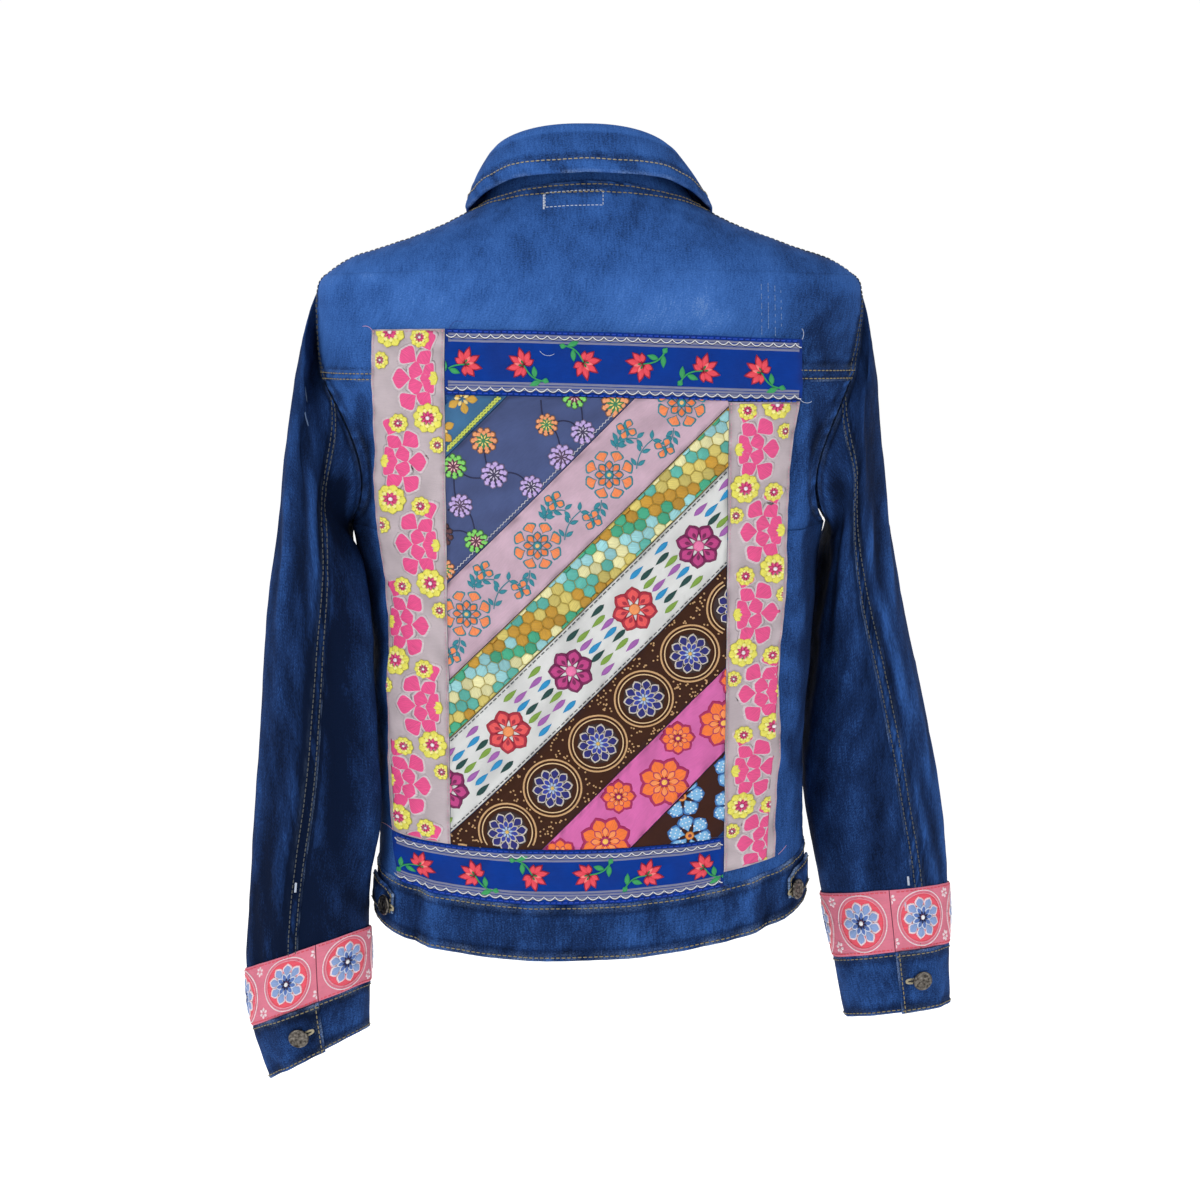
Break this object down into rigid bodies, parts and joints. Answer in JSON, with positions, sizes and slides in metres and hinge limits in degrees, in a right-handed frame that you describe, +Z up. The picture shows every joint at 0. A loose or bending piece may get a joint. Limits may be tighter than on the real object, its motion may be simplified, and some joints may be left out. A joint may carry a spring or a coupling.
{
  "type": "denim jacket",
  "caption": "Women's denim jacket, hollow and filled out as if worn, with a patchwork panel of flowered ribbons on its back and a ribbon band above each cuff.",
  "frame": {"origin": "midway between the shoulders at the base of the neck, where the wearer's shoulders carry it", "axes": "+Z up, +Y out of the jacket's back, +X towards the wearer's left sleeve"},
  "size_m": [0.5703, 0.248, 0.756],
  "materials": {
    "denim": "worn twill weave, faded along seams",
    "cuff_ribbon": "jacquard ribbon with flowers",
    "floral": "matt woven cotton with a printed pattern",
    "ribbon": "woven ribbon with embroidered sprigs",
    "slate": "matt cotton with embroidered flowers",
    "rose": "matt cotton with embroidered rosettes",
    "mosaic": "satin stitch in small cells",
    "white": "woven ribbon with embroidered bundles of stripes",
    "brown": "jacquard ribbon with medallions",
    "pink": "printed cotton ribbon",
    "metal": "dark antique metal"
  },
  "bodies": {
    "root": {"back_panel": "denim", "back_yoke": "denim", "front_left": "denim", "front_yoke_left": "denim", "front_right": "denim", "front_yoke_right": "denim", "button_placket": "denim", "waistband_back": "denim", "waistband_left": "denim", "waistband_right": "denim", "side_tab_left": "denim", "side_tab_right": "denim", "collar_stand": "denim", "collar": "denim", "top_sleeve_left": "denim", "under_sleeve_left": "denim", "cuff_left": "denim", "cuff_ribbon_left": "cuff_ribbon", "top_sleeve_right": "denim", "under_sleeve_right": "denim", "cuff_right": "denim", "cuff_ribbon_right": "cuff_ribbon", "strip_left": "floral", "strip_right": "floral", "ribbon_top": "ribbon", "ribbon_bottom": "ribbon", "slant_ribbon_1": "slate", "slant_ribbon_2": "slate", "slant_ribbon_3": "rose", "slant_ribbon_4": "mosaic", "slant_ribbon_5": "white", "slant_ribbon_6": "brown", "slant_ribbon_7": "pink", "slant_ribbon_8": "brown", "front_button_1": "metal", "front_button_2": "metal", "front_button_3": "metal", "front_button_4": "metal", "front_button_5": "metal", "waistband_button": "metal", "cuff_button_left": "metal", "tab_button_left": "metal", "cuff_button_right": "metal", "tab_button_right": "metal"}
  },
  "joints": []
}
